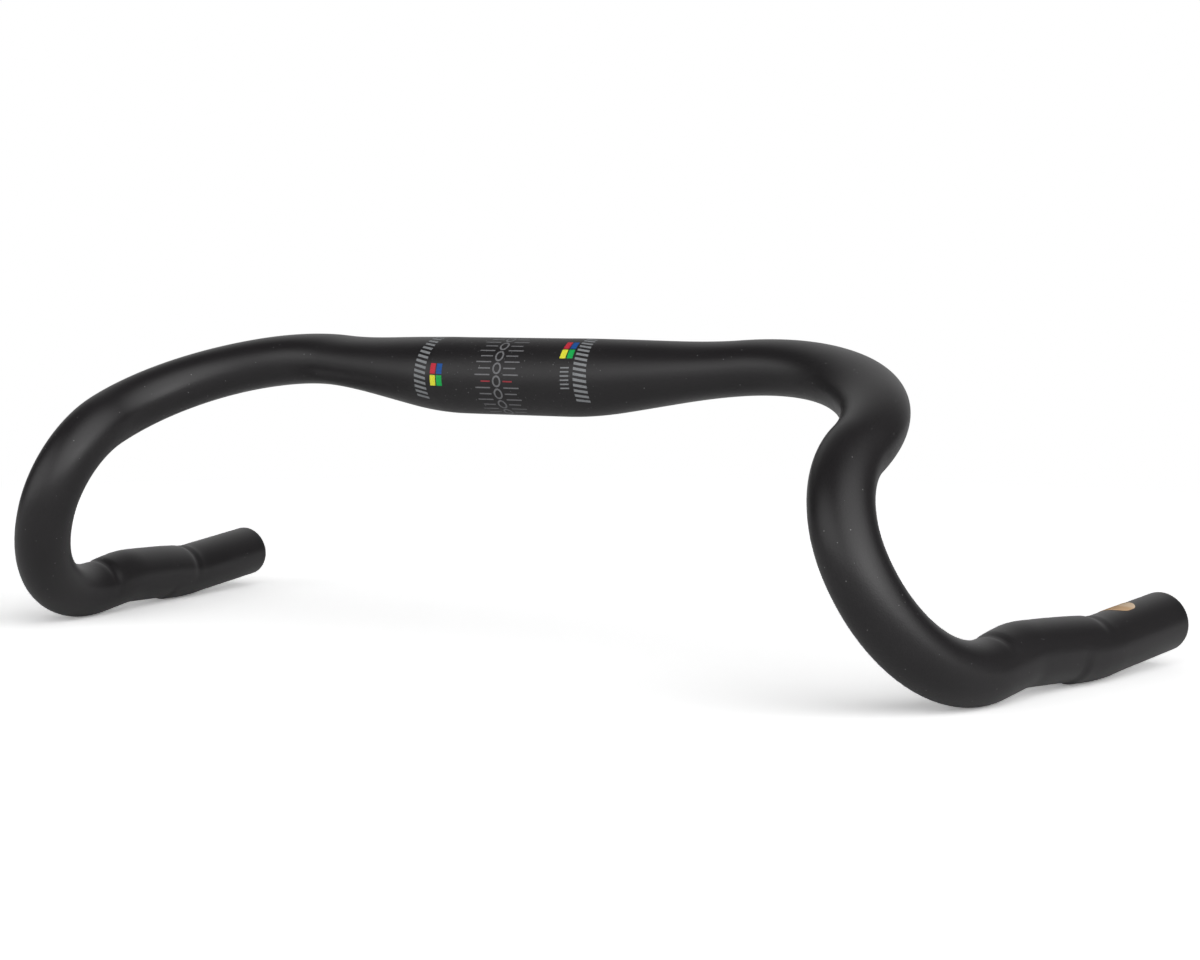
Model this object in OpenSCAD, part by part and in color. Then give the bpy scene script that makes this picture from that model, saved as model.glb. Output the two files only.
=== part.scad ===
/* [Clamp] */
// Outer diameter of the round middle that a stem grips
clamp_d = 31.8; // [30:0.1:34]
// Length of the straight, round middle
clamp_len = 44; // [36:1:56]
// Wall of the tube in the middle
clamp_wall = 2.2; // [1.8:0.1:3]

/* [Tops] */
// Height of the flattened tops
top_h = 22; // [19:0.5:26]
// Depth of the flattened tops, front to back
top_w = 30; // [26:0.5:36]
// Squareness of the underside of the tops, where 2 is a plain ellipse
underside_square = 2.5; // [2:0.1:3]
// Squareness of the upper side of the tops, where 2 is a plain ellipse
upper_square = 2.1; // [2:0.1:2.6]
// Plain round length between the clamp and the taper
collar_len = 5; // [2:1:10]
// Length over which the round middle becomes the flat tops
taper_len = 73; // [55:1:85]
// Length of the tops that keeps the full flat section
flat_len = 44; // [20:1:55]
// Length over which the flat tops become the round grips
rounding_len = 78; // [60:1:90]

/* [Centreline of the tops] */
// Distance from the clamp to the corner where the tops sweep back
sweep_start = 14; // [13:1:20]
// Bend radius where the tops sweep back
sweep_r = 147; // [100:1:170]
// Half the distance between the two outer corners
half_width = 180.5; // [165:0.5:220]
// How far the outer corners lie behind the clamp
sweep_back = 23.5; // [10:0.5:34]
// How far the outer corners lie above the clamp
rise = 11; // [0:1:20]
// Bend radius of the outer corners
corner_r = 69; // [55:1:75]

/* [Hooks] */
// Outer diameter of the round grips
grip_d = 23.8; // [22.2:0.1:25.4]
// Wall of the tube outside the taper
grip_wall = 1.4; // [1.2:0.1:2]
// Lean of the hooks, the lower part outwards
flare = 22.5; // [0:0.5:30]
// Turn of the hooks seen from above, the rear outwards
outsweep = 9.5; // [0:0.5:14]
// Forward reach of the lever bend, from the outer corner
lever_reach = 102.5; // [92:0.5:115]
// Fall of the lever bend, from the outer corner
lever_fall = 47.5; // [36:0.5:54]
// Bend radius behind the levers
lever_r = 39; // [32:1:42]
// Forward reach of the hook bend
hook_reach = 87.5; // [82:0.5:98]
// Fall of the hook bend
hook_fall = 126.5; // [118:0.5:134]
// Bend radius of the hook
hook_r = 52; // [40:1:54]

/* [Drops] */
// Forward reach of the palm bend
palm_reach = 19; // [14:1:28]
// Fall of the palm bend
palm_fall = 117; // [112:0.5:121]
// Bend radius at the palm
palm_r = 46; // [30:1:60]
// Distance of the heel bend behind the outer corner
heel_back = 36; // [24:1:38]
// Fall of the heel bend
heel_fall = 119.5; // [115:0.5:124]
// Bend radius at the heel of the hand
heel_r = 44; // [30:1:60]
// Distance of the cut end behind the outer corner
end_back = 88; // [84:0.5:110]
// Fall of the cut end
end_fall = 115; // [108:0.5:120]
// Length of the plain straight tube at each end
end_len = 46; // [42:1:48]
// Bevel on the edges of the cut ends
end_bevel = 0.3; // [0.1:0.1:0.5]

/* [Pressed palm shape] */
// Depth of the two creases across the upper side
crease_depth = 0.9; // [0:0.1:1.4]
// Half the width of a crease along the tube
crease_half = 4; // [3:0.5:6]
// Distance of the front crease before the palm bend
front_crease_lead = 17; // [12:1:20]
// Distance of the rear crease before the heel bend
rear_crease_lead = 3; // [2:1:12]
// How far the upper side swells between the creases
palm_swell_h = 0.9; // [0:0.1:1.2]
// Distance of the top of that swell before the heel bend
palm_swell_lead = 27; // [20:1:34]
// Half the length of that swell along the tube
palm_swell_half = 26; // [16:1:30]
// How far the swell under the heel stands out
swell_h = 0.9; // [0:0.1:1.2]
// Distance of the front of the swell before the heel bend
swell_lead = 30; // [24:1:36]
// Length of the short front slope of the swell
swell_front = 3; // [2:0.5:5]
// Length of the long rear slope of the swell
swell_rear = 9; // [6:1:14]

/* [Label] */
// Length of the paper label
label_len = 24; // [16:1:30]
// Width of the paper label
label_w = 19; // [12:1:20]
// Thickness of the paper
label_t = 0.15; // [0.1:0.05:0.3]
// Distance from the cut end to the middle of the label
label_from_end = 26; // [20:1:28]
// Turn of the label from the top of the tube, inwards
label_turn = 5; // [-40:1:40]

/* [Hidden] */

bar_color = [0.17, 0.16, 0.17];
paper_color = [0.86, 0.74, 0.60];

// Sides of the tube's outer and inner skin
sides = 32;
inner_sides = sides / 2;
// Largest turn and spacing between two rings of the skin
arc_step = 10.9;
plain_gap = 10.5;
palm_gap = 4;
// Shortest straight that gets a ring of its own
shortest_leg = 0.6;
// The swept skin ends inside the walls of the plain tubes, this far in
lap = 0.5;
nest = 0.06;
// Air between the label and the tube
glue = 0.01;
exact_fn = 64;

grip_r = grip_d / 2;
grip_bore_r = grip_r - grip_wall;
clamp_r = clamp_d / 2;
clamp_bore_r = clamp_r - clamp_wall;

// Vector maths
function unit(v) = v / norm(v);
function mix(a, b, k) = a + (b - a) * k;
function ease(x) = let (t = min(max(x, 0), 1)) t * t * (3 - 2 * t);
function turned(v, k, g) = v * cos(g) + cross(k, v) * sin(g) + k * (k * v) * (1 - cos(g));
function across(v, t) = unit(v - t * (t * v));
function total(list, n) = n <= 0 ? 0 : list[n - 1] + total(list, n - 1);

// Plane of the hook on the +X side: forward, sideways and up
hook_fwd = [-sin(outsweep), -cos(outsweep), 0];
hook_side = [cos(outsweep), -sin(outsweep), 0];
hook_up = [0, 0, cos(flare)] - hook_side * sin(flare);
outer_corner = [half_width, sweep_back, rise];
function in_hook(reach, fall) = outer_corner + hook_fwd * reach - hook_up * fall;

// Corners of the +X half's centreline, from the clamp to the cut end
bar_end = in_hook(-end_back, end_fall);
heel = in_hook(-heel_back, heel_fall);
end_dir = unit(bar_end - heel);
skin_end = bar_end - end_dir * (end_len - lap);
corners = [
    [clamp_len / 2 - lap, 0, 0],
    [clamp_len / 2 + sweep_start, 0, 0],
    outer_corner,
    in_hook(lever_reach, lever_fall),
    in_hook(hook_reach, hook_fall),
    in_hook(palm_reach, palm_fall),
    heel,
    skin_end
];
wanted_r = [0, sweep_r, corner_r, lever_r, hook_r, palm_r, heel_r, 0];
last = len(corners) - 1;
palm = 5;

// Legs between corners, the turn at each corner, and the bend radii that the legs leave room for
spans = [for (i = [0:last - 1]) norm(corners[i + 1] - corners[i])];
dirs = [for (i = [0:last - 1]) unit(corners[i + 1] - corners[i])];
turns = [for (i = [0:last]) i == 0 || i == last ? 0 : acos(dirs[i - 1] * dirs[i])];
wanted_cut = [for (i = [0:last]) wanted_r[i] * tan(turns[i] / 2)];
room = [for (i = [0:last - 1]) min(1, spans[i] / (wanted_cut[i] + wanted_cut[i + 1]))];
bend_r = [for (i = [0:last]) wanted_r[i] * min(room[max(i - 1, 0)], room[min(i, last - 1)])];
cuts = [for (i = [0:last]) bend_r[i] * tan(turns[i] / 2)];
legs = [for (i = [0:last - 1]) spans[i] - cuts[i] - cuts[i + 1]];
arcs = [for (i = [0:last]) bend_r[i] * turns[i] * PI / 180];
axes = [for (i = [0:last]) i == 0 || i == last ? [0, 0, 1] : unit(cross(dirs[i - 1], dirs[i]))];

// The section's upward direction, carried round the bends without twisting
function carried_up(i) = i == 0 ? [0, 0, 1] : turned(carried_up(i - 1), axes[i], turns[i]);
ups = [for (i = [0:last - 1]) carried_up(i)];

// Distance along the centreline from the middle of the bar
leg_from = [for (i = [0:last - 1]) clamp_len / 2 - lap + total(legs, i) + total(arcs, i + 1)];
palm_at = leg_from[palm] - arcs[palm] / 2;
heel_at = leg_from[palm + 1] - arcs[palm + 1] / 2;
skin_len = leg_from[last - 1] + legs[last - 1];

function leg_rings(i) = legs[i] < shortest_leg ? 0 : ceil(legs[i] / (i < palm - 1 ? plain_gap : palm_gap));
function arc_rings(i) =
    max(1, i < palm ? ceil(turns[i] / arc_step) : ceil(arcs[i] / palm_gap));

// Rings as place, direction, upward direction and distance along the bar
function leg_ring(i, k) =
    let (d = legs[i] * k / max(leg_rings(i), 1))
    [corners[i] + dirs[i] * (cuts[i] + d), dirs[i], ups[i], leg_from[i] + d];
function arc_ring(i, k) =
    let (
        g = turns[i] * k / arc_rings(i),
        inward = cross(axes[i], dirs[i - 1]),
        begin = corners[i] - dirs[i - 1] * cuts[i]
    )
    [
        begin + inward * bend_r[i] * (1 - cos(g)) + dirs[i - 1] * bend_r[i] * sin(g),
        turned(dirs[i - 1], axes[i], g),
        turned(ups[i - 1], axes[i], g),
        leg_from[i] - arcs[i] + bend_r[i] * g * PI / 180
    ];
rings = [
    for (i = [0:last - 1]) each [
        for (k = [1:1:i == 0 ? 0 : arc_rings(i)]) arc_ring(i, k - 1),
        for (k = [1:1:leg_rings(i)]) leg_ring(i, k - 1)
    ],
    [skin_end, dirs[last - 1], ups[last - 1], skin_len]
];

// Section along the bar: how flat it is, and its height, depth and wall
taper_from = clamp_len / 2 + collar_len;
rounding_from = taper_from + taper_len + flat_len;
function flat_at(s) = ease((s - taper_from) / taper_len);
function round_at(s) = ease((s - rounding_from) / rounding_len);
function size_at(s, top) = mix(mix(clamp_d, top, flat_at(s)), grip_d, round_at(s));
function square_at(s, most) = 2 + (most - 2) * flat_at(s) * (1 - round_at(s));
function wall_at(s) = mix(clamp_wall, grip_wall, flat_at(s));
function power(x, n) = sign(x) * pow(abs(x), n);

// Pressed shape: two creases on the upper side, a low swell between them and one under the heel
function bump(s, middle, half) = ease(1 - abs(s - middle) / half);
function creases_at(s) =
    bump(s, palm_at - front_crease_lead, crease_half)
        + bump(s, heel_at - rear_crease_lead, crease_half);
function palm_swell_at(s) = bump(s, heel_at - palm_swell_lead, palm_swell_half);
function heel_swell_at(s) =
    ease((s - heel_at + swell_lead) / swell_front) * ease((skin_len - s) / swell_rear);
function pressed(s, upward) =
    swell_h * heel_swell_at(s) * max(-upward, 0)
        + (palm_swell_h * palm_swell_at(s) - crease_depth * creases_at(s)) * max(upward, 0);

// One point of a ring, seen at angle a from the side towards the top, inset by the given wall
function skin_point(ring, a, inset, grow) =
    let (
        t = ring[1],
        s = ring[3],
        up = ring[2],
        out = cross(up, t),
        h = (size_at(s, top_h) / 2 - inset) * grow,
        w = (size_at(s, top_w) / 2 - inset) * grow,
        n = square_at(s, sin(a) < 0 ? underside_square : upper_square),
        away = out * cos(a) + up * sin(a),
        press = pressed(s, away * across(hook_up, t))
    )
    ring[0]
        + out * w * power(cos(a), 2 / n)
        + up * h * power(sin(a), 2 / n)
        + away * press;

// Outer skin at every ring, and inner skin at every other ring with flats at the true bore
outer_points = [
    for (i = [0:len(rings) - 1], j = [0:sides - 1])
        skin_point(rings[i], j * 360 / sides, is_end(i) ? nest : 0, 1)
];
inner_rings = [for (i = [0:2:len(rings) - 2]) i, len(rings) - 1];
inner_points = [
    for (i = inner_rings, j = [0:inner_sides - 1])
        skin_point(
            rings[i],
            j * 360 / inner_sides,
            wall_at(rings[i][3]) - (is_end(i) ? nest : 0),
            1 / cos(180 / inner_sides)
        )
];
function is_end(i) = i == 0 || i == len(rings) - 1;

// Faces: the outer skin, the inner skin and the two end walls between them
function outer_at(i, j) = i * sides + j % sides;
function inner_at(i, j) = len(outer_points) + i * inner_sides + j % inner_sides;
outer_faces = [
    for (i = [0:len(rings) - 2], j = [0:sides - 1]) each [
        [outer_at(i, j), outer_at(i + 1, j + 1), outer_at(i, j + 1)],
        [outer_at(i, j), outer_at(i + 1, j), outer_at(i + 1, j + 1)]
    ]
];
inner_faces = [
    for (i = [0:len(inner_rings) - 2], j = [0:inner_sides - 1]) each [
        [inner_at(i, j), inner_at(i, j + 1), inner_at(i + 1, j + 1)],
        [inner_at(i, j), inner_at(i + 1, j + 1), inner_at(i + 1, j)]
    ]
];
function end_wall(i, k) = [
    for (j = [0:inner_sides - 1]) each [
        [outer_at(i, 2 * j), outer_at(i, 2 * j + 1), inner_at(k, j)],
        [outer_at(i, 2 * j + 1), inner_at(k, j + 1), inner_at(k, j)],
        [outer_at(i, 2 * j + 1), outer_at(i, 2 * j + 2), inner_at(k, j + 1)]
    ]
];
function flipped(faces) = [for (f = faces) [f[0], f[2], f[1]]];

// Puts its children on the end tube's axis, with Z pointing out of the cut end
module at_bar_end() {
    translate(bar_end)
        rotate([0, acos(end_dir[2]), atan2(end_dir[1], end_dir[0])])
            children();
}

// Swept tube from the clamp to the plain end
module swept_half() {
    polyhedron(
        points = concat(outer_points, inner_points),
        faces = concat(
            outer_faces,
            inner_faces,
            end_wall(0, 0),
            flipped(end_wall(len(rings) - 1, len(inner_rings) - 1))
        ),
        convexity = 8
    );
}

// Plain tube at the cut end, bevelled inside and out
module end_tube() {
    at_bar_end()
        rotate_extrude($fn = exact_fn)
            polygon([
                [grip_bore_r, -end_len],
                [grip_r, -end_len],
                [grip_r, -end_bevel],
                [grip_r - end_bevel, 0],
                [grip_bore_r + end_bevel, 0],
                [grip_bore_r, -end_bevel]
            ]);
}

// Plain tube in the middle
module clamp_tube() {
    rotate([0, 90, 0])
        difference() {
            cylinder(r = clamp_r, h = clamp_len, center = true, $fn = exact_fn);
            cylinder(r = clamp_bore_r, h = clamp_len + 2, center = true, $fn = exact_fn);
        }
}

// The whole bar, one bent and pressed tube
module handlebar() {
    color(bar_color)
        union() {
            clamp_tube();
            for (side = [0, 1])
                mirror([side, 0, 0]) {
                    swept_half();
                    end_tube();
                }
        }
}

// Blank oblong paper label that follows the round of the end on the +X side
module end_label() {
    color(paper_color)
        at_bar_end()
            translate([0, 0, -label_from_end])
                rotate([0, 0, 180 - label_turn])
                    intersection() {
                        paper_roll();
                        rotate([0, 90, 0])
                            linear_extrude(grip_d)
                                label_outline();
                    }
}

// Paper rolled all the way round the tube, from which the label is cut
module paper_roll() {
    inner_r = grip_r + glue;
    difference() {
        cylinder(r = inner_r + label_t, h = label_len, center = true, $fn = exact_fn);
        cylinder(r = inner_r, h = label_len + 2, center = true, $fn = exact_fn);
    }
}

// Outline of the label, two round ends joined by a straight middle
module label_outline() {
    straight = label_len - label_w;
    square([straight, label_w], center = true);
    for (end = [-1, 1])
        translate([end * straight / 2, 0])
            circle(d = label_w, $fn = exact_fn);
}

handlebar();
end_label();
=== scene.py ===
"""Looks of a bare flared drop handlebar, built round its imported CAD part.

The tube is one closed surface worked out from the same driving sizes as the solid, in millimetres.
The printed marks are thin slabs of ink on that surface, and the paper label is a thin curved slab.
"""

import logging
import math
from dataclasses import dataclass, field
from enum import Enum, IntEnum
from typing import Any

import bpy
import numpy as np
from mathutils import Matrix, Vector

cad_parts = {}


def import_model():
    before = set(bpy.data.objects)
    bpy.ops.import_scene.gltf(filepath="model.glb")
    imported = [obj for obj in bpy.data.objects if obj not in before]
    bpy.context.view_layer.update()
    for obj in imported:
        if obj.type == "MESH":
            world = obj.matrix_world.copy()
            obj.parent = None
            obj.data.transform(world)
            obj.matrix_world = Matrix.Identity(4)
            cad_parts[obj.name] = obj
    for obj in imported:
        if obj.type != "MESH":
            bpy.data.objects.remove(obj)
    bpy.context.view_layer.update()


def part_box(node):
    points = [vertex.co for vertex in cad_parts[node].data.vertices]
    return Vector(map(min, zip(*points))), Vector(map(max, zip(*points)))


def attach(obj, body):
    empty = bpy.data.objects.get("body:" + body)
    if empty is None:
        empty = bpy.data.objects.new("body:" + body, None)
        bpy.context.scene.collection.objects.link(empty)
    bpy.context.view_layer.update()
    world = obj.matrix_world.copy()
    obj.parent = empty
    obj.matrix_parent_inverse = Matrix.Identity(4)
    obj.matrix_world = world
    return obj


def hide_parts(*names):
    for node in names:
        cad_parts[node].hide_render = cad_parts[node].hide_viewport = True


LOG = logging.getLogger("handlebar")
MM = 0.001


def unit(v: np.ndarray) -> np.ndarray:
    """The vectors in v at length one."""
    return v / np.linalg.norm(v, axis=-1, keepdims=True)


def ease(x: np.ndarray) -> np.ndarray:
    """A soft step: 3 x squared less 2 x cubed, with x held between 0 and 1."""
    t = np.clip(x, 0.0, 1.0)
    return t * t * (3.0 - 2.0 * t)


def bump(s: np.ndarray, middle: float, half: float) -> np.ndarray:
    """A soft hump of height one at middle that ends half to either side."""
    return ease(1.0 - np.abs(s - middle) / half)


def mix(a: Any, b: Any, k: Any) -> Any:
    """The value that lies the share k of the way from a to b."""
    return a + (b - a) * k


def turned(v: np.ndarray, axis: np.ndarray, angle: np.ndarray) -> np.ndarray:
    """Turns v about a unit axis: v cos g + (axis x v) sin g + axis (axis . v) (1 - cos g).

    Args:
        v: One vector.
        axis: The unit axis.
        angle: Angles in radians, any number of them.

    Returns:
        One turned vector for each angle.
    """
    g = np.asarray(angle)[..., None]
    return v * np.cos(g) + np.cross(axis, v) * np.sin(g) + axis * (axis @ v) * (1.0 - np.cos(g))


def signed_power(x: np.ndarray, n: np.ndarray) -> np.ndarray:
    """The size of x raised to n, with the sign of x kept."""
    return np.sign(x) * np.abs(x) ** n


@dataclass(frozen=True)
class Patch:
    """Vertices in millimetres and four-sided faces of one or more closed pieces."""

    points: np.ndarray
    faces: np.ndarray

    @staticmethod
    def joined(patches: list["Patch"]) -> "Patch":
        """All the patches as one, each keeping its own vertices."""
        starts = np.cumsum([0] + [len(p.points) for p in patches[:-1]])
        return Patch(
            np.concatenate([p.points for p in patches]),
            np.concatenate([p.faces + start for p, start in zip(patches, starts)]),
        )

    def piece(
        self, name: str, material: bpy.types.Material, sharp: float = 40.0
    ) -> bpy.types.Object:
        """Makes the patch an object at the origin, smooth apart from its sharp edges.

        Args:
            name: Name of the object.
            material: Its finish.
            sharp: Edges that turn by more degrees than this stay sharp.

        Returns:
            The new object.
        """
        mesh = bpy.data.meshes.new(name)
        mesh.from_pydata((self.points * MM).tolist(), [], self.faces.tolist())
        mesh.polygons.foreach_set("use_smooth", np.ones(len(self.faces), dtype=bool))
        mesh.set_sharp_from_angle(angle=math.radians(sharp))
        mesh.materials.append(material)
        mesh.update()
        obj = bpy.data.objects.new(name, mesh)
        bpy.context.scene.collection.objects.link(obj)
        LOG.info("%s: %d vertices, %d faces", name, len(self.points), len(self.faces))
        return obj


def closed_roll(points: np.ndarray) -> Patch:
    """Closes a grid that runs into itself both ways, as the skin of a tube with a wall does.

    Args:
        points: Rows by sides by 3. Row times side points out of the solid.

    Returns:
        The closed patch.
    """
    rows, sides = points.shape[:2]
    i, j = np.meshgrid(np.arange(rows), np.arange(sides), indexing="ij")
    down, across = (i + 1) % rows, (j + 1) % sides
    around = [i * sides + j, i * sides + across, down * sides + across, down * sides + j]
    return Patch(points.reshape(-1, 3), np.stack(around, -1).reshape(-1, 4))


def slab(top: np.ndarray, under: np.ndarray, ring: bool = False) -> Patch:
    """Closes two grids of equal shape into a thin slab with walls along its edges.

    Args:
        top: Upper surface, rows by columns by 3. Row times column points out of the solid.
        under: Lower surface, point for point below the upper one.
        ring: Whether the last row runs into the first, as on an outlined oval.

    Returns:
        The closed patch.
    """
    rows, cols = top.shape[:2]
    below = rows * cols
    i, j = np.meshgrid(np.arange(rows if ring else rows - 1), np.arange(cols - 1), indexing="ij")
    down = (i + 1) % rows
    around = [i * cols + j, down * cols + j, down * cols + j + 1, i * cols + j + 1]
    upper = np.stack(around, -1).reshape(-1, 4)
    k = np.arange(len(i))
    walls = [
        walled(k * cols + c, (k + 1) % rows * cols + c, below, flip)
        for c, flip in ((0, False), (cols - 1, True))
    ]
    if not ring:
        k = np.arange(cols - 1)
        final = (rows - 1) * cols
        walls += [walled(k, k + 1, below, True), walled(final + k, final + k + 1, below, False)]
    points = np.concatenate([top.reshape(-1, 3), under.reshape(-1, 3)])
    return Patch(points, np.concatenate([upper, upper[:, ::-1] + below, *walls]))


def walled(a: np.ndarray, b: np.ndarray, below: int, flip: bool) -> np.ndarray:
    """Wall faces under the edges a to b, whose lower vertices lie below places further on."""
    wall = np.stack([a, a + below, b + below, b], -1)
    return wall[:, ::-1] if flip else wall


class Bend(IntEnum):
    """The bends of the axis, counted from the clamp."""

    SWEEP = 1
    OUTER = 2
    LEVER = 3
    HOOK = 4
    PALM = 5
    HEEL = 6


@dataclass(frozen=True)
class Corner:
    """A corner of the hook's axis: reach ahead of the outer one, fall below it, and radius."""

    reach: float
    fall: float
    radius: float = 0.0


@dataclass(frozen=True)
class Leg:
    """A straight or a bend: where it begins along the bar, and its first point and directions."""

    begin: float
    length: float
    start: np.ndarray
    way: np.ndarray
    up: np.ndarray
    axis: np.ndarray | None = None
    radius: float = 0.0

    def at(self, d: np.ndarray) -> tuple[np.ndarray, np.ndarray, np.ndarray]:
        """Place, direction and upward direction at distances d from the beginning.

        On a straight the place is its first point plus its direction times the distance. On a
        bend of radius r and angle g it is the first point, plus r (1 - cos g) towards the centre,
        plus r sin g along the first direction.

        Args:
            d: Distances in millimetres.

        Returns:
            Three arrays of vectors, or one vector for what doesn't change.
        """
        if self.axis is None:
            return self.start + self.way * d[:, None], self.way, self.up
        g, r = d / self.radius, self.radius
        inward = np.cross(self.axis, self.way)
        place = self.start + inward * r * (1 - np.cos(g))[:, None]
        place = place + self.way * r * np.sin(g)[:, None]
        return place, turned(self.way, self.axis, g), turned(self.up, self.axis, g)


@dataclass(frozen=True)
class Centreline:
    """The +X half of the tube's axis: straights joined by true bends, in millimetres.

    A place that is no more than the touch short of a straight or bend counts as on it.
    """

    sweep_at: float = 36.0
    sweep_r: float = 147.0
    half_width: float = 180.5
    sweep_back: float = 23.5
    rise: float = 11.0
    corner_r: float = 69.0
    flare: float = 22.5
    outsweep: float = 9.5
    lever: Corner = Corner(102.5, 47.5, 39.0)
    hook: Corner = Corner(87.5, 126.5, 52.0)
    palm: Corner = Corner(19.0, 117.0, 46.0)
    heel: Corner = Corner(-36.0, 119.5, 44.0)
    cut_end: Corner = Corner(-88.0, 115.0)
    touch: float = 1e-9

    def hook_axes(self) -> tuple[np.ndarray, np.ndarray]:
        """The hook's axes, after its outsweep and flare.

        Returns:
            Its forward and upward directions.
        """
        o, f = math.radians(self.outsweep), math.radians(self.flare)
        ahead = np.array([-math.sin(o), -math.cos(o), 0.0])
        side = np.array([math.cos(o), -math.sin(o), 0.0])
        return ahead, np.array([0.0, 0.0, math.cos(f)]) - side * math.sin(f)

    def hook_corners(self) -> tuple[Corner, ...]:
        """The hook's corners, from the lever bend to the cut end."""
        return self.lever, self.hook, self.palm, self.heel, self.cut_end

    def corners(self) -> np.ndarray:
        """The corners of the axis.

        Returns:
            One row for each, from the middle of the bar to the cut end.
        """
        ahead, up = self.hook_axes()
        outer = np.array([self.half_width, self.sweep_back, self.rise])
        low = [outer + ahead * c.reach - up * c.fall for c in self.hook_corners()]
        return np.array([np.zeros(3), np.array([self.sweep_at, 0.0, 0.0]), outer, *low])

    def legs(self) -> list[Leg]:
        """The straights and bends in order.

        A bend of radius r and turn t takes r tan (t / 2) off the straights beside it. Where two
        bends want more than there is, their radii shrink until they meet.

        Returns:
            Straights and bends in turn, with a straight first and last.
        """
        at = self.corners()
        radii = [0.0, self.sweep_r, self.corner_r, *(c.radius for c in self.hook_corners())]
        spans = np.linalg.norm(np.diff(at, axis=0), axis=1)
        ways = unit(np.diff(at, axis=0))
        last = len(at) - 1
        turns = [0.0, *(math.acos(float(ways[i - 1] @ ways[i])) for i in range(1, last)), 0.0]
        wanted = [r * math.tan(t / 2) for r, t in zip(radii, turns)]
        room = [min(1.0, spans[i] / (wanted[i] + wanted[i + 1])) for i in range(last)]
        radii = [
            r * min(room[max(i - 1, 0)], room[min(i, last - 1)]) for i, r in enumerate(radii)
        ]
        cuts = [r * math.tan(t / 2) for r, t in zip(radii, turns)]
        legs, s, up = [], 0.0, np.array([0.0, 0.0, 1.0])
        for i in range(last):
            if i > 0:
                axis, arc = unit(np.cross(ways[i - 1], ways[i])), radii[i] * turns[i]
                start = at[i] - ways[i - 1] * cuts[i]
                legs.append(Leg(s, arc, start, ways[i - 1], up, axis, radii[i]))
                s += arc
                up = turned(up, axis, np.array(turns[i]))
            length = spans[i] - cuts[i] - cuts[i + 1]
            legs.append(Leg(s, length, at[i] + ways[i] * cuts[i], ways[i], up))
            s += length
        return legs

    def follow(self, s: np.ndarray) -> tuple[np.ndarray, np.ndarray, np.ndarray]:
        """Place, direction and upward direction at distances s from the middle of the bar.

        Args:
            s: Distances in millimetres, none negative.

        Returns:
            Three arrays of vectors.
        """
        place, along, upward = (np.zeros((*s.shape, 3)) for _ in range(3))
        for leg in self.legs():
            here = s >= leg.begin - self.touch
            place[here], along[here], upward[here] = leg.at(s[here] - leg.begin)
        return place, along, upward

    def mid_bend(self, bend: Bend) -> float:
        """Distance along the bar to the middle of a bend; a straight lies before each bend."""
        leg = self.legs()[2 * bend - 1]
        return leg.begin + leg.length / 2

    def length(self) -> float:
        """Distance along the bar from its middle to the cut end."""
        leg = self.legs()[-1]
        return leg.begin + leg.length


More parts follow.
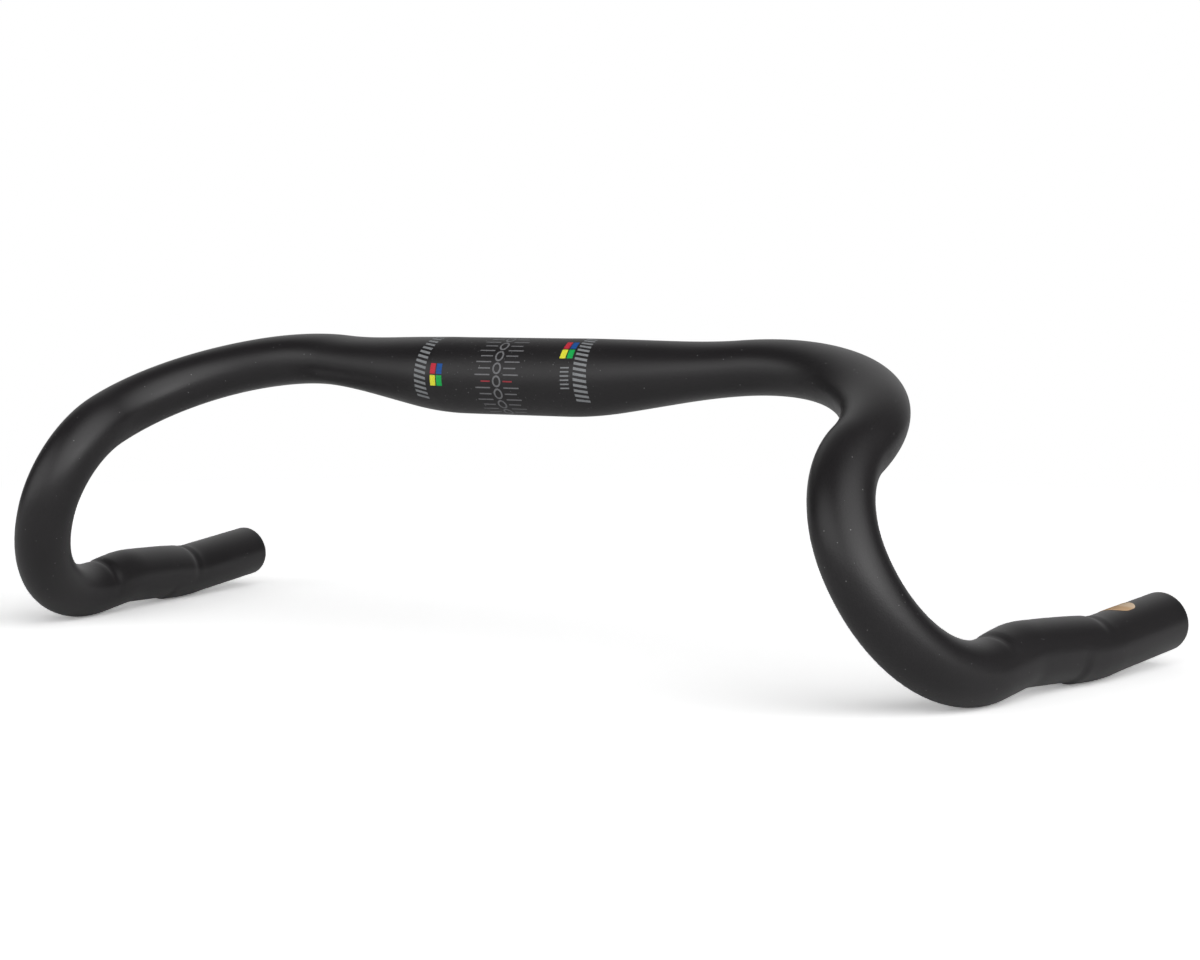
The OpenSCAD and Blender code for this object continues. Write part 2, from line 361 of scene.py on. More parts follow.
@dataclass(frozen=True)
class HandlebarTube:
    """The bent, flattened and pressed tube, hollow from end to end, in millimetres.

    The front crease's lead is its distance ahead of the middle of the palm bend. The rear
    crease's and the heel swell's are theirs ahead of the middle of the heel bend.
    """

    axis: Centreline = field(default_factory=Centreline)
    clamp_d: float = 31.8
    clamp_wall: float = 2.2
    plain_half: float = 27.0
    top_h: float = 22.0
    top_w: float = 30.0
    underside_square: float = 2.5
    upper_square: float = 2.1
    taper_len: float = 73.0
    flat_len: float = 44.0
    rounding_len: float = 78.0
    grip_d: float = 23.8
    grip_wall: float = 1.4
    end_len: float = 45.5
    end_bevel: float = 0.3
    bevel_arcs: int = 3
    crease_depth: float = 0.85
    crease_half: float = 3.6
    front_crease_lead: float = 17.0
    rear_crease_lead: float = 7.2
    palm_swell: float = 0.9
    heel_swell: float = 1.0
    heel_swell_lead: float = 26.2
    heel_swell_front: float = 4.5
    heel_swell_rear: float = 19.0
    sides: int = 80
    outer_step: float = 1.8
    inner_step: float = 6.0

    def flattened(self, s: np.ndarray) -> np.ndarray:
        """Nought on the clamp zone and one from the flat tops on."""
        return ease((s - self.plain_half) / self.taper_len)

    def rounded(self, s: np.ndarray) -> np.ndarray:
        """Nought up to the end of the flat tops and one from the round grip on."""
        return ease((s - self.plain_half - self.taper_len - self.flat_len) / self.rounding_len)

    def size_at(self, s: np.ndarray, top: float) -> np.ndarray:
        """Height or depth of the section: clamp zone, then the flat top, then the grip."""
        return mix(mix(self.clamp_d, top, self.flattened(s)), self.grip_d, self.rounded(s))

    def square_at(self, s: np.ndarray, most: np.ndarray) -> np.ndarray:
        """The exponent of the oval: 2 where it is round, and most where it is flat."""
        return 2.0 + (most - 2.0) * self.flattened(s) * (1.0 - self.rounded(s))

    def pressed(self, s: np.ndarray, upward: np.ndarray) -> np.ndarray:
        """How far the skin is pressed out: heel swell below, palm swell less the creases above.

        The palm swell is half an oval that spans the creases: its height times the root of
        1 - x squared, with x from -1 at the front crease to 1 at the rear one.

        Args:
            s: Distance along the bar.
            upward: Cosine between the skin's outward direction and the hook's upward one.

        Returns:
            Millimetres outwards.
        """
        palm, heel = self.axis.mid_bend(Bend.PALM), self.axis.mid_bend(Bend.HEEL)
        first, final = palm - self.front_crease_lead, heel - self.rear_crease_lead
        x = (2 * s - first - final) / (final - first)
        creases = bump(s, first, self.crease_half) + bump(s, final, self.crease_half)
        above = self.palm_swell * np.sqrt(np.maximum(1 - x * x, 0.0)) - self.crease_depth * creases
        front = ease((s - heel + self.heel_swell_lead) / self.heel_swell_front)
        rear = ease((self.axis.length() - self.end_len - s) / self.heel_swell_rear)
        below = self.heel_swell * front * rear
        return below * np.maximum(-upward, 0.0) + above * np.maximum(upward, 0.0)

    def skin(
        self, q: np.ndarray, a: np.ndarray, inset: np.ndarray | float = 0.0
    ) -> np.ndarray:
        """Points of the skin.

        At angle a from the rear towards the top, the point is the axis, plus half the depth times
        the signed power 2 / n of cos a backwards, plus half the height times that of sin a
        upwards, plus the pressed amount straight outwards. The other half mirrors in x.

        Args:
            q: Distance along the bar, negative on the -X side.
            a: Angle round the section in radians.
            inset: Depth below the outer skin, negative above it.

        Returns:
            Points in millimetres.
        """
        q, a, inset = np.broadcast_arrays(q, a, inset)
        s = np.abs(q)
        place, along, up = self.axis.follow(s)
        out = np.cross(up, along)
        high = self.size_at(s, self.top_h) / 2 - inset
        deep = self.size_at(s, self.top_w) / 2 - inset
        most = np.where(np.sin(a) < 0, self.underside_square, self.upper_square)
        n = self.square_at(s, most)
        away = out * np.cos(a)[..., None] + up * np.sin(a)[..., None]
        lift = self.axis.hook_axes()[1]
        across = unit(lift - along * (along @ lift)[..., None])
        press = self.pressed(s, (away * across).sum(-1))
        points = (
            place
            + out * (deep * signed_power(np.cos(a), 2 / n))[..., None]
            + up * (high * signed_power(np.sin(a), 2 / n))[..., None]
            + away * press[..., None]
        )
        points[..., 0] *= np.where(q < 0, -1.0, 1.0)
        return points

    def surface(self) -> Patch:
        """The whole tube: outer skin from end to end, a bevelled lip, the inner skin, a lip.

        Returns:
            The closed patch.
        """
        full, bevel, wall = self.axis.length(), self.end_bevel, self.grip_wall
        outer = np.linspace(bevel - full, full - bevel, int(2 * full / self.outer_step) | 1)
        inner = np.linspace(full - bevel, bevel - full, int(2 * full / self.inner_step) | 1)
        rounding = np.linspace(0.0, math.pi / 2, self.bevel_arcs + 1)[1:-1]
        out_q = full - bevel * (1 - np.sin(rounding))
        out_in = bevel * (1 - np.cos(rounding))
        lip_q = np.concatenate([out_q, [full, full], out_q[::-1]])
        lip_in = np.concatenate([out_in, [bevel, wall - bevel], wall - out_in[::-1]])
        thick = mix(self.clamp_wall, wall, self.flattened(np.abs(inner)))
        q = np.concatenate([outer, lip_q, inner, -lip_q[::-1]])
        inset = np.concatenate([np.zeros(len(outer)), lip_in, thick, lip_in[::-1]])
        a = np.arange(self.sides) * (2 * math.pi / self.sides)
        return closed_roll(self.skin(q[:, None], a[None, :], inset[:, None]))


@dataclass(frozen=True)
class Mark:
    """One printed bar as four corners: distances along the bar in mm and angles in degrees."""

    near: float
    far: float
    low: float
    high: float
    slant: float = 0.0


@dataclass(frozen=True)
class BarColumn:
    """A column of printed bars: distances and their height in mm, and angles in degrees."""

    near: float
    far: float
    first: float
    final: float
    pitch: float
    height: float
    slant: float = 0.0


@dataclass(frozen=True)
class ClampPrint:
    """The printed angle scale of the clamp zone and the plain fields of ink on either side."""

    tube: HandlebarTube
    ink_rise: float = 0.03
    ink_sink: float = 0.02
    arc_step: float = 1.5
    bar_points: int = 4
    zero_angle: float = 185.7
    row_pitch: float = 9.7
    rows_above: int = 8
    rows_below: int = 7
    tick_from: float = 3.3
    long_tick: float = 10.7
    short_tick: float = 9.2
    zero_tick: tuple[float, float] = (3.2, 7.7)
    tick_width: float = 0.55
    ring_width: float = 4.2
    ring_height: float = 4.9
    ring_line: float = 0.75
    ring_points: int = 40
    columns: tuple[BarColumn, ...] = (
        BarColumn(-40.8, -35.2, 103.0, 223.0, 8.0, 1.1, 4.0),
        BarColumn(35.6, 41.0, 103.0, 223.0, 8.0, 1.1, 4.0),
        BarColumn(30.2, 33.8, 164.0, 200.0, 6.0, 0.55),
    )
    block_size: tuple[float, float] = (2.5, 4.4)
    block_gap: float = 0.55
    block_groups: tuple[tuple[float, float], ...] = ((-30.0, 178.0), (31.8, 132.5))

    def degrees(self, mm: float) -> float:
        """An arc's angle in degrees on the clamp's round."""
        return math.degrees(mm / (self.tube.clamp_d / 2))

    def printed(self, q: np.ndarray, a: np.ndarray, ring: bool = False) -> Patch:
        """Ink on the skin over a grid of distances and angles.

        Args:
            q: Distances along the bar in millimetres.
            a: Angles in degrees.
            ring: Whether the grid's last row runs into its first.

        Returns:
            The closed slab of ink.
        """
        angle = np.radians(a)
        over = self.tube.skin(q, angle, -self.ink_rise)
        return slab(over, self.tube.skin(q, angle, self.ink_sink), ring)

    def bar(self, mark: Mark) -> Patch:
        """A bar of ink, whose near and far ends are turned half the slant either way.

        Args:
            mark: Its corners.

        Returns:
            The closed slab of ink.
        """
        across = max(2, int((mark.high - mark.low) / self.arc_step) + 1)
        u, v = np.meshgrid(
            np.linspace(0, 1, across), np.linspace(0, 1, self.bar_points), indexing="ij"
        )
        angle = mix(mark.low, mark.high, u) + mark.slant * (0.5 - v)
        return self.printed(mix(mark.far, mark.near, v), angle)

    def ring(self, angle: float) -> Patch:
        """A plain outlined oval round x 0: its middle plus its radii times cos and sin.

        Args:
            angle: Its middle round the section in degrees.

        Returns:
            The closed slab of ink.
        """
        g, r = np.meshgrid(
            np.linspace(0, 2 * math.pi, self.ring_points, endpoint=False),
            np.array([0.0, self.ring_line]),
            indexing="ij",
        )
        wide, high = self.ring_width / 2 - r, self.ring_height / 2 - r
        turn = angle + self.degrees(1.0) * high * np.sin(g)
        return self.printed(wide * np.cos(g), turn, ring=True)

    def tick(self, row: int, side: int) -> Patch:
        """One tick of the scale, long on every other row.

        Args:
            row: Its row, counted from the zero pair's.
            side: -1 or 1 for the side of the middle that it is on.

        Returns:
            The closed slab of ink.
        """
        middle = self.zero_angle + row * self.row_pitch
        half = self.degrees(self.tick_width) / 2
        ends = (self.tick_from, self.long_tick if row % 2 else self.short_tick)
        near, far = sorted(side * e for e in (self.zero_tick if row == 0 else ends))
        return self.bar(Mark(near, far, middle - half, middle + half))

    def grey_ticks(self) -> Patch:
        """The scale's ticks apart from the zero pair, and the column of rings between them.

        Returns:
            All of them as one patch.
        """
        rows = range(-self.rows_above, self.rows_below + 1)
        ticks = [self.tick(row, side) for row in rows if row for side in (-1, 1)]
        rings = [self.ring(self.zero_angle + row * self.row_pitch) for row in rows[::2]]
        return Patch.joined(ticks + rings)

    def red_ticks(self) -> Patch:
        """The zero pair."""
        return Patch.joined([self.tick(0, side) for side in (-1, 1)])

    def side_bars(self) -> Patch:
        """The columns of bars to the sides of the scale.

        Returns:
            All of them as one patch.
        """
        bars = []
        for c in self.columns:
            half = self.degrees(c.height) / 2
            bars += [
                self.bar(Mark(c.near, c.far, a - half, a + half, c.slant))
                for a in np.arange(c.first, c.final, c.pitch)
            ]
        return Patch.joined(bars)

    def blocks(self, column: int, row: int) -> Patch:
        """One coloured block of each group of two by two.

        Args:
            column: 0 for the column towards -X and 1 for the other.
            row: 0 for the row at the lower angles and 1 for the other.

        Returns:
            The blocks of that colour as one patch.
        """
        wide, high = self.block_size
        made = []
        for x, a in self.block_groups:
            near = x + self.block_gap / 2 if column else x - self.block_gap / 2 - wide
            low = self.degrees(self.block_gap / 2 if row else -self.block_gap / 2 - high)
            made.append(self.bar(Mark(near, near + wide, a + low, a + low + self.degrees(high))))
        return Patch.joined(made)


@dataclass(frozen=True)
class EndLabel:
    """The blank paper label that follows the round of the +X end, in millimetres."""

    tube: HandlebarTube
    long: float = 16.0
    wide: float = 13.0
    thick: float = 0.15
    from_end: float = 32.5
    turn: float = 12.0
    air: float = 0.01
    points_along: int = 49
    points_across: int = 57

    def surface(self) -> Patch:
        """The label as a slab.

        Across it, y is half its width times the sine of a quarter turn; along it, x is plus or
        minus half the straight part and the round end's own half chord there. A point then lies
        on the tube's round at the angle whose sine is y over the radius.

        Returns:
            The closed patch.
        """
        u, v = np.meshgrid(
            np.linspace(-1, 1, self.points_along),
            np.linspace(-1, 1, self.points_across),
            indexing="ij",
        )
        r = self.wide / 2
        y = r * np.sin(v * math.pi / 2)
        x = u * ((self.long - self.wide) / 2 + np.sqrt(np.maximum(r * r - y * y, 0.0)))
        at_end = self.tube.axis.follow(np.array([self.tube.axis.length()]))
        end, way = at_end[0][0], at_end[1][0]
        level = math.hypot(way[0], way[1])
        top = np.array([-way[2] * way[0] / level, -way[2] * way[1] / level, level])
        top = turned(top, way, np.array(-math.radians(self.turn)))
        side = np.cross(way, top)
        middle = end - way * self.from_end

        def rolled(radius: float) -> np.ndarray:
            """The label's grid on a round.

            Args:
                radius: The round's radius in millimetres.

            Returns:
                The grid's points.
            """
            angle = np.arcsin(y / radius)
            round_it = top * np.cos(angle)[..., None] + side * np.sin(angle)[..., None]
            return middle + way * x[..., None] + round_it * radius

        inner = self.tube.grip_d / 2 + self.air
        return slab(rolled(inner + self.thick), rolled(inner))


class Signal:
    """A number that varies over a surface. Sums and products of it add Math nodes."""

    def __init__(self, sheet: "ShaderSheet", socket: bpy.types.NodeSocket) -> None:
        """Keeps the sheet that the nodes are drawn on and the socket that carries the number."""
        self.sheet = sheet
        self.socket = socket

    def _math(self, operation: str, first: Any, second: Any) -> "Signal":
        """Adds one Math node.

        Args:
            operation: What it does.
            first: A Signal or a plain number.
            second: A Signal or a plain number.

        Returns:
            The node's result.
        """
        settings = {"operation": operation}
        node = self.sheet.node("ShaderNodeMath", settings, {0: first, 1: second})
        return Signal(self.sheet, node.outputs[0])

    def __add__(self, other: "Signal | float") -> "Signal":
        """This plus the other."""
        return self._math("ADD", self, other)

    def __radd__(self, other: float) -> "Signal":
        """A plain number plus this."""
        return self._math("ADD", other, self)

    def __sub__(self, other: "Signal | float") -> "Signal":
        """This less the other."""
        return self._math("SUBTRACT", self, other)

    def __rsub__(self, other: float) -> "Signal":
        """A plain number less this."""
        return self._math("SUBTRACT", other, self)

    def __mul__(self, other: "Signal | float") -> "Signal":
        """This times the other."""
        return self._math("MULTIPLY", self, other)

    def __rmul__(self, other: float) -> "Signal":
        """A plain number times this."""
        return self._math("MULTIPLY", other, self)

    def __lt__(self, other: "Signal | float") -> "Signal":
        """One where this is less than the other, and nought elsewhere."""
        return self._math("LESS_THAN", self, other)

    def stronger(self, other: "Signal") -> "Signal":
        """The larger of the two at each place."""
        return self._math("MAXIMUM", self, other)

    def step(self, low: float, high: float) -> "Signal":
        """A soft step between two values, of which high may be the lower.

        Args:
            low: Where the step is nought, as it stays beyond.
            high: Where it is one, as it stays beyond.

        Returns:
            The step.
        """
        settings = {"interpolation_type": "SMOOTHSTEP", "clamp": True}
        values = {"Value": self, "From Min": low, "From Max": high, "To Min": 0.0, "To Max": 1.0}
        made = self.sheet.node("ShaderNodeMapRange", settings, values)
        return Signal(self.sheet, made.outputs[0])


@dataclass(frozen=True)
class Specks:
    """Round specks in millimetres, and the share of the cells that hold one."""

    spacing: float
    radius: float
    share: float
    core: float = 0.6


class ShaderSheet:
    """One material's or world's nodes."""

    def __init__(self, owner: bpy.types.Material | bpy.types.World) -> None:
        """Empties the owner's node tree to draw on it.

        Args:
            owner: The material or world.
        """
        self.owner = owner
        owner.use_nodes = True
        self.tree = owner.node_tree
        self.tree.nodes.clear()

    def node(
        self, kind: str, settings: dict[str, Any], inputs: dict[str | int, Any]
    ) -> bpy.types.Node:
        """Adds a node.

        Args:
            kind: The node's type.
            settings: Its settings, which are made before its sockets are filled.
            inputs: Sockets by name or number, each with a value, a socket or a Signal.

        Returns:
            The node.
        """
        made = self.tree.nodes.new(kind)
        for name, value in settings.items():
            setattr(made, name, value)
        for key, value in inputs.items():
            source = value.socket if isinstance(value, Signal) else value
            if isinstance(source, bpy.types.NodeSocket):
                self.tree.links.new(source, made.inputs[key])
            else:
                made.inputs[key].default_value = source
        return made

    def place(self) -> bpy.types.NodeSocket:
        """Object coordinates, in metres."""
        return self.node("ShaderNodeTexCoord", {}, {}).outputs["Object"]

    def along(self, axis: str) -> Signal:
        """One of the object coordinates X, Y and Z, in millimetres."""
        parts = self.node("ShaderNodeSeparateXYZ", {}, {0: self.place()})
        return Signal(self, parts.outputs[axis]) * (1 / MM)

    def noise(self, grain: float, detail: float = 2.0, rough: float = 0.5) -> Signal:
        """Soft noise from 0 to 1.

        Args:
            grain: About the size of its features in millimetres.
            detail: Number of finer layers in it.
            rough: Strength of each layer as a share of the one before.

        Returns:
            The noise.
        """
        values = {
            "Vector": self.place(),
            "Scale": 1 / (grain * MM),
            "Detail": detail,
            "Roughness": rough,
        }
        return Signal(self, self.node("ShaderNodeTexNoise", {}, values).outputs[0])

    def specks(self, kind: Specks) -> Signal:
        """Round specks.

        Args:
            kind: Their size, spacing and share.

        Returns:
            One on a speck and nought between them.
        """
        values = {"Vector": self.place(), "Scale": 1 / (kind.spacing * MM)}
        cells = self.node("ShaderNodeTexVoronoi", {}, values)
        chance = self.node("ShaderNodeSeparateColor", {}, {0: cells.outputs["Color"]})
        edge = kind.radius / kind.spacing
        near = Signal(self, cells.outputs["Distance"]).step(edge, kind.core * edge)
        return near * (Signal(self, chance.outputs[0]) < kind.share)

    def colours(self, share: Signal, first: Any, second: Any) -> bpy.types.NodeSocket:
        """The first colour turning into the second as the share goes from 0 to 1.

        Args:
            share: The share of the second colour.
            first: Three screen values, or a socket.
            second: Three screen values, or a socket.

        Returns:
            The mixed colour. A Mix node's colours are its inputs 6 and 7 and its output 2.
        """
        values = {0: share, 6: as_colour(first), 7: as_colour(second)}
        settings = {"data_type": "RGBA", "clamp_factor": True}
        return self.node("ShaderNodeMix", settings, values).outputs[2]

    def relief(self, height: Signal, depth: float) -> bpy.types.NodeSocket:
        """The normal of a relief whose heights from 0 to 1 span the depth in millimetres."""
        values = {"Strength": 1.0, "Distance": depth * MM, "Height": height}
        return self.node("ShaderNodeBump", {}, values).outputs[0]

    def facing(self, way: bpy.types.NodeSocket, direction: Vector) -> Signal:
        """Cosine between the way looked and a direction.

        Args:
            way: The way looked.
            direction: The direction, at length one.

        Returns:
            The cosine.
        """
        settings = {"operation": "DOT_PRODUCT"}
        dot = self.node("ShaderNodeVectorMath", settings, {0: way, 1: tuple(direction)})
        return Signal(self, dot.outputs["Value"])

    def finish(self, values: dict[str, Any]) -> bpy.types.Material:
        """Ends a material's sheet with one surface shader that has the given inputs."""
        return self.end(self.node("ShaderNodeBsdfPrincipled", {}, values).outputs[0])

    def end(self, shader: bpy.types.NodeSocket) -> bpy.types.Material | bpy.types.World:
        """Sends the shader to the output.

        Args:
            shader: The finished shader.

        Returns:
            The material or world.
        """
        world = isinstance(self.owner, bpy.types.World)
        kind = "ShaderNodeOutputWorld" if world else "ShaderNodeOutputMaterial"
        self.node(kind, {}, {"Surface": shader})
        return self.owner


def as_colour(value: Any) -> Any:
    """A colour written as screen values from 0 to 1, as the linear one that a socket takes.

    Args:
        value: Three screen values, or a socket that carries a colour already.

    Returns:
        Four linear values, or the socket.
    """
    if not isinstance(value, tuple):
        return value
    c = np.array(value)
    linear = np.where(c <= 0.04045, c / 12.92, ((c + 0.055) / 1.055) ** 2.4)
    return (*linear.tolist(), 1.0)


@dataclass(frozen=True)
class MattCoat:
    """The bar's matt black coat: fine grain, grit in the clamp zone and a little dust.

    A reach is the pair of noise values between which a mark goes from none to full. The gritty
    zone comes in between the two x of zone_from and goes out from the second x of zone_to to the
    first, in millimetres.
    """

    body: tuple[float, float, float] = (0.121, 0.114, 0.120)
    worn: tuple[float, float, float] = (0.149, 0.142, 0.148)
    grit_tone: tuple[float, float, float] = (0.42, 0.42, 0.43)
    dust_tone: tuple[float, float, float] = (0.60, 0.60, 0.60)
    shine: float = 0.50
    rough: float = 0.31
    cloud_mm: float = 26.0
    cloud_reach: tuple[float, float] = (0.40, 0.75)
    cloud_share: float = 0.45
    grain_mm: float = 0.7
    grain_reach: tuple[float, float] = (0.35, 0.65)
    grain_share: float = 0.35
    grain_rough: float = 0.06
    grain_depth: float = 0.05
    zone_from: tuple[float, float] = (-35.5, -32.5)
    zone_to: tuple[float, float] = (54.0, 38.0)
    zone_rough: float = 0.06
    zone_grain_mm: float = 0.8
    zone_height: float = 1.2
    grit: Specks = Specks(1.3, 0.21, 0.30)
    grit_share: float = 0.75
    grit_height: float = 1.5
    dust: Specks = Specks(3.0, 0.28, 0.35)
    dust_share: float = 0.5
    patch_mm: float = 38.0
    patch_rough: float = 0.10

    def material(self) -> bpy.types.Material:
        """The coat's nodes.

        Returns:
            The material.
        """
        sheet = ShaderSheet(bpy.data.materials.new("matt_black_coat"))
        x = sheet.along("X")
        zone = x.step(*self.zone_from) * x.step(*self.zone_to)
        grit = zone * sheet.specks(self.grit)
        dust = sheet.specks(self.dust)
        cloud = sheet.noise(self.cloud_mm, detail=3.0).step(*self.cloud_reach)
        grain = sheet.noise(self.grain_mm, detail=3.0, rough=0.6)
        worn = cloud * self.cloud_share + grain.step(*self.grain_reach) * self.grain_share
        tone = sheet.colours(worn, self.body, self.worn)
        tone = sheet.colours(grit * self.grit_share, tone, self.grit_tone)
        tone = sheet.colours(dust * self.dust_share, tone, self.dust_tone)
        patches = (sheet.noise(self.patch_mm) - 0.5) * self.patch_rough
        rough = self.rough + patches + zone * self.zone_rough + grain * self.grain_rough
        relief = grain + zone * sheet.noise(self.zone_grain_mm) * self.zone_height
        return sheet.finish(
            {
                "Base Color": tone,
                "Roughness": rough,
                "Specular IOR Level": self.shine,
                "Normal": sheet.relief(relief + grit * self.grit_height, self.grain_depth),
            }
        )


class InkColour(Enum):
    """The print's inks, as screen values from 0 to 1."""

    GREY = (0.56, 0.57, 0.58)
    SCALE = (0.48, 0.48, 0.49)
    ZERO = (0.66, 0.22, 0.26)
    GREEN = (0.10, 0.72, 0.34)
    YELLOW = (0.96, 0.95, 0.26)
    RED = (0.82, 0.18, 0.26)
    BLUE = (0.10, 0.34, 0.64)


@dataclass(frozen=True)
class PrintedInk:
    """One ink, thin and slightly uneven over the grain of the coat."""

    colour: InkColour
    thin_tone: float = 0.62
    thin_share: float = 0.64
    grain_mm: float = 0.5
    grain_reach: tuple[float, float] = (0.52, 0.72)
    grain_rough: float = 0.1
    grain_depth: float = 0.02
    rough: float = 0.52
    shine: float = 0.35

    def material(self) -> bpy.types.Material:
        """The ink's nodes: its colour with the dark coat showing through in grains.

        Returns:
            The material.
        """
        sheet = ShaderSheet(bpy.data.materials.new(f"ink_{self.colour.name.lower()}"))
        grain = sheet.noise(self.grain_mm, detail=3.0, rough=0.6)
        through = tuple(self.thin_tone * c for c in self.colour.value)
        share = grain.step(*self.grain_reach) * self.thin_share
        return sheet.finish(
            {
                "Base Color": sheet.colours(share, self.colour.value, through),
                "Roughness": self.rough + grain * self.grain_rough,
                "Specular IOR Level": self.shine,
                "Normal": sheet.relief(grain, self.grain_depth),
            }
        )


@dataclass(frozen=True)
class LabelPaper:
    """Uncoated tan paper, paler towards one place, with short fibres.

    The pale reach is in millimetres from that place: nothing at the first, full at the second.
    """

    tan: tuple[float, float, float] = (0.84, 0.70, 0.55)
    pale: tuple[float, float, float] = (0.94, 0.86, 0.76)
    pale_reach: tuple[float, float] = (8.5, 5.0)
    pale_share: float = 0.7
    fibre_mm: float = 0.7
    fibre_share: float = 0.5
    fibre_rough: float = 0.1
    fibre_depth: float = 0.03
    rough: float = 0.85
    shine: float = 0.2

    def material(self, palest: Vector) -> bpy.types.Material:
        """The paper's nodes.

        Args:
            palest: The place in metres round which it is paler.

        Returns:
            The material.
        """
        sheet = ShaderSheet(bpy.data.materials.new("tan_paper"))
        values = {0: sheet.place(), 1: tuple(palest)}
        apart = sheet.node("ShaderNodeVectorMath", {"operation": "DISTANCE"}, values)
        reach = Signal(sheet, apart.outputs["Value"]) * (1 / MM)
        fibre = sheet.noise(self.fibre_mm, detail=4.0, rough=0.7) - 0.5
        share = reach.step(*self.pale_reach) * self.pale_share + fibre * self.fibre_share
        return sheet.finish(
            {
                "Base Color": sheet.colours(share, self.tan, self.pale),
                "Roughness": self.rough + fibre * self.fibre_rough,
                "Specular IOR Level": self.shine,
                "Normal": sheet.relief(fibre, self.fibre_depth),
            }
        )


@dataclass(frozen=True)
class Glow:
    """A soft glow of the surround.

    Its way is an azimuth and an elevation in degrees. Its reach is the pair of cosines from that
    way between which it rises to full strength. It loses its fall times the height looked at.
    """

    way: tuple[float, float]
    reach: tuple[float, float]
    strength: float
    fall: float = 0.0


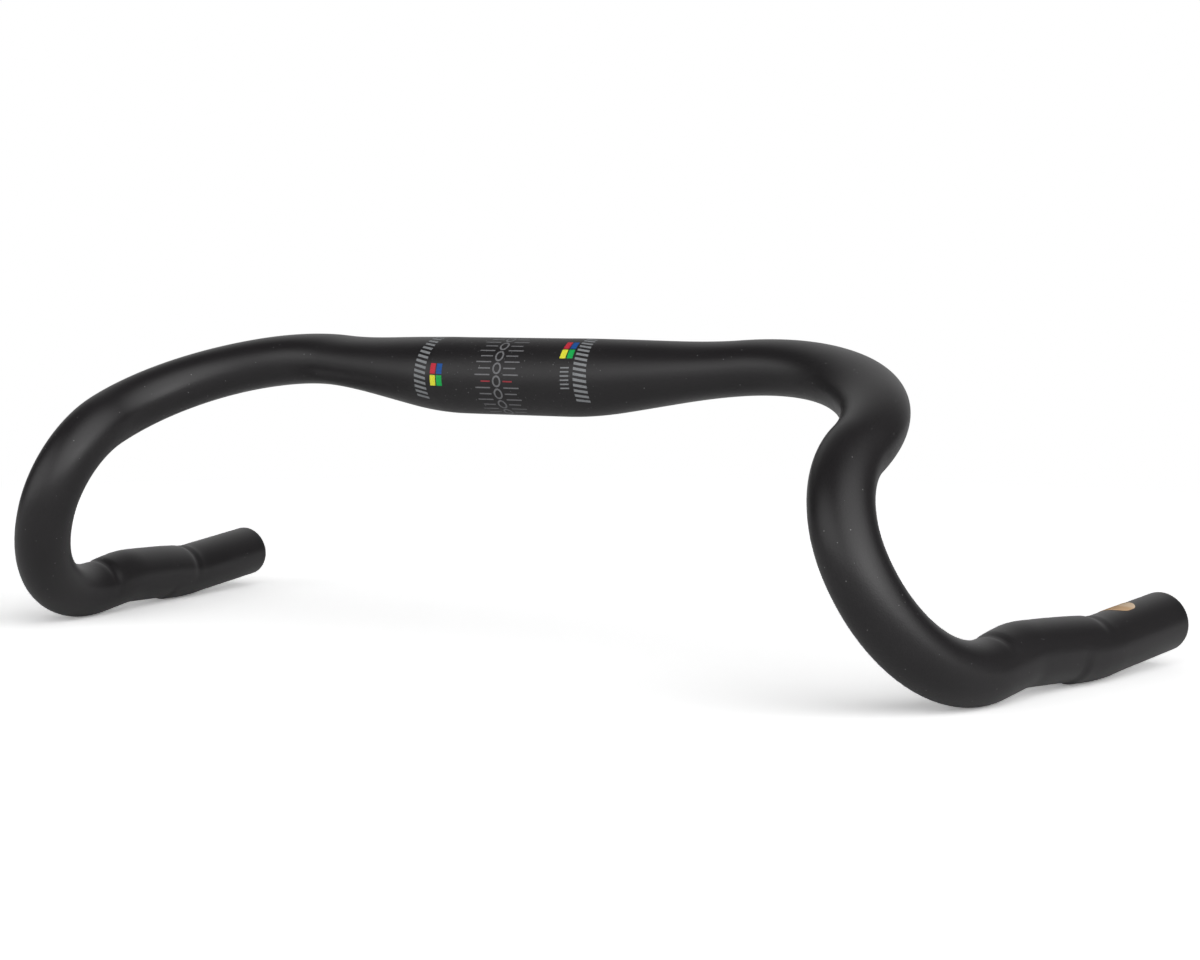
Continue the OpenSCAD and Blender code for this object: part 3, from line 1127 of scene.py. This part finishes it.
@dataclass(frozen=True)
class Studio:
    """White floor, soft lamps and the camera of the photograph, in metres and degrees."""

    aim: tuple[float, float, float] = (0.19441, -0.24051, -0.01899)
    azimuth: float = 32.7
    elevation: float = 4.4
    roll: float = 0.1
    distance: float = 0.66938
    lens_mm: float = 71.1
    sensor_mm: float = 36.0
    clip: tuple[float, float] = (0.01, 50.0)
    floor_z: float = -0.11205
    floor_rings: tuple[float, ...] = (0.00005, 0.4, 1.0, 2.5, 6.0)
    floor_sides: int = 96
    floor_thick: float = 0.005
    floor_white: float = 0.70
    floor_gain: float = 0.96
    floor_fill: float = 0.18
    far_reach: tuple[float, float] = (0.55, 0.95)
    far_glow: float = 0.40
    right: Glow = Glow((62.0, 18.0), (0.35, 0.95), 2.0475, 0.585)
    left: Glow = Glow((-25.0, 0.0), (0.60, 0.97), 1.3)
    back: Glow = Glow((-147.0, 17.0), (0.60, 0.98), 0.45)
    room_glow: float = 0.05
    key_watts: float = 1.3
    key_way: tuple[float, float] = (66.0, 12.0)
    key_distance: float = 1.5
    key_size: tuple[float, float] = (0.9, 0.5)

    def way(self, azimuth: float, elevation: float) -> Vector:
        """The direction from the object towards an azimuth and elevation."""
        a, e = math.radians(azimuth), math.radians(elevation)
        return Vector((math.sin(a) * math.cos(e), -math.cos(a) * math.cos(e), math.sin(e)))

    def camera(self) -> bpy.types.Object:
        """The camera, rolled about its line of sight.

        Returns:
            Its object.
        """
        data = bpy.data.cameras.new("photo_camera")
        data.lens, data.sensor_width, data.sensor_fit = self.lens_mm, self.sensor_mm, "HORIZONTAL"
        data.clip_start, data.clip_end = self.clip
        back = self.way(self.azimuth, self.elevation)
        a, r = math.radians(self.azimuth), math.radians(self.roll)
        right = Vector((math.cos(a), math.sin(a), 0.0))
        up = back.cross(right)
        right, up = right * math.cos(r) + up * math.sin(r), up * math.cos(r) - right * math.sin(r)
        turn = Matrix((right, up, back)).transposed().to_4x4()
        obj = bpy.data.objects.new("photo_camera", data)
        obj.matrix_world = Matrix.Translation(Vector(self.aim) + back * self.distance) @ turn
        bpy.context.scene.collection.objects.link(obj)
        bpy.context.scene.camera = obj
        return obj

    def softbox(self) -> None:
        """The one lamp, a rectangle that looks at the middle of the bar."""
        data = bpy.data.lights.new("key_softbox", "AREA")
        data.shape, data.energy = "RECTANGLE", self.key_watts
        data.size, data.size_y = self.key_size
        obj = bpy.data.objects.new("key_softbox", data)
        back = self.way(*self.key_way)
        obj.location = back * self.key_distance
        obj.rotation_euler = back.to_track_quat("Z", "Y").to_euler()
        bpy.context.scene.collection.objects.link(obj)

    def floor(self) -> bpy.types.Object:
        """A round floor of plain rings that carries the bar's soft shadow.

        Returns:
            Its object.
        """
        g, r = np.meshgrid(
            np.linspace(0, 2 * math.pi, self.floor_sides, endpoint=False),
            np.array(self.floor_rings),
            indexing="ij",
        )
        top = np.stack([r * np.cos(g), r * np.sin(g), np.full_like(r, self.floor_z)], -1)[::-1] / MM
        under = top - np.array([0.0, 0.0, self.floor_thick / MM])
        obj = slab(top, under, ring=True).piece("studio_floor", self.floor_paint())
        return obj

    def rays(self, sheet: ShaderSheet) -> tuple[Signal, Signal]:
        """Masks for the kinds of rays that see the white surround.

        Args:
            sheet: The sheet they are drawn on.

        Returns:
            One for rays from the camera or through glass, and one for those a gloss sends on.
        """
        path = sheet.node("ShaderNodeLightPath", {}, {})
        camera, glossy, through = (
            Signal(sheet, path.outputs[f"Is {kind} Ray"])
            for kind in ("Camera", "Glossy", "Transmission")
        )
        return camera + through, glossy

    def floor_paint(self) -> bpy.types.Material:
        """White paint that keeps shadows, lifted to full white where it is seen and far off.

        Returns:
            The material.
        """
        sheet = ShaderSheet(bpy.data.materials.new("white_floor"))
        direct, glossy = self.rays(sheet)
        bright = self.floor_white + direct * self.floor_gain
        values = {"Red": bright, "Green": bright, "Blue": bright}
        white = sheet.node("ShaderNodeCombineColor", {}, values)
        paint = sheet.node("ShaderNodeBsdfDiffuse", {}, {"Color": white.outputs[0]})
        lift = sheet.node("ShaderNodeEmission", {}, {"Strength": direct * self.floor_fill})
        lit = sheet.node("ShaderNodeAddShader", {}, {0: paint.outputs[0], 1: lift.outputs[0]})
        reach = sheet.node("ShaderNodeVectorMath", {"operation": "LENGTH"}, {0: sheet.place()})
        far = Signal(sheet, reach.outputs["Value"]).step(*self.far_reach)
        values = {"Strength": direct + glossy * self.far_glow}
        plain = sheet.node("ShaderNodeEmission", {}, values)
        values = {0: far * (direct + glossy), 1: lit.outputs[0], 2: plain.outputs[0]}
        return sheet.end(sheet.node("ShaderNodeMixShader", {}, values).outputs[0])

    def world(self) -> None:
        """A surround that is plain white where it is seen.

        What lights the object is the stronger of two wide soft glows in front of it, of which the
        right one falls a little with height, a smaller glow behind it and a little from everywhere.
        """
        world = bpy.data.worlds.new("studio_room")
        bpy.context.scene.world = world
        sheet = ShaderSheet(world)
        way = sheet.node("ShaderNodeTexCoord", {}, {}).outputs["Generated"]
        height = Signal(sheet, sheet.node("ShaderNodeSeparateXYZ", {}, {0: way}).outputs["Z"])
        right, left, back = (
            sheet.facing(way, self.way(*glow.way)).step(*glow.reach)
            * (glow.strength - height * glow.fall)
            for glow in (self.right, self.left, self.back)
        )
        glow = right.stronger(left) + back + self.room_glow
        direct, _ = self.rays(sheet)
        values = {"Color": (1.0, 1.0, 1.0, 1.0), "Strength": direct + (1 - direct) * glow}
        sheet.end(sheet.node("ShaderNodeBackground", {}, values).outputs[0])

    def build(self) -> None:
        """Floor, lamps, surround, camera and the plain view transform."""
        self.floor()
        self.softbox()
        self.world()
        self.camera()
        bpy.context.scene.view_settings.view_transform = "Standard"


def ride(obj: bpy.types.Object) -> None:
    """Sets a finished piece on the one body.

    Args:
        obj: The piece.
    """
    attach(obj, "root")


def main() -> None:
    """Loads the frame, builds the tube, its print and its label, then the studio."""
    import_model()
    tube = HandlebarTube()
    bar = tube.surface().piece("handlebar_tube", MattCoat().material())
    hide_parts("handlebar")
    ride(bar)
    marks = ClampPrint(tube)
    prints = {
        "scale_print": (marks.grey_ticks(), InkColour.SCALE),
        "zero_print": (marks.red_ticks(), InkColour.ZERO),
        "side_bar_print": (marks.side_bars(), InkColour.GREY),
        "red_block_print": (marks.blocks(0, 0), InkColour.RED),
        "blue_block_print": (marks.blocks(1, 0), InkColour.BLUE),
        "yellow_block_print": (marks.blocks(0, 1), InkColour.YELLOW),
        "green_block_print": (marks.blocks(1, 1), InkColour.GREEN),
    }
    for name, (patch, ink) in prints.items():
        ride(patch.piece(name, PrintedInk(ink).material()))
    low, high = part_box("end_label")
    paper = LabelPaper().material((low + high) / 2)
    label = EndLabel(tube).surface().piece("bar_end_label", paper)
    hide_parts("end_label")
    ride(label)
    Studio().build()


if __name__ == "__main__":
    logging.basicConfig(level=logging.INFO, format="%(name)s %(message)s")
    main()
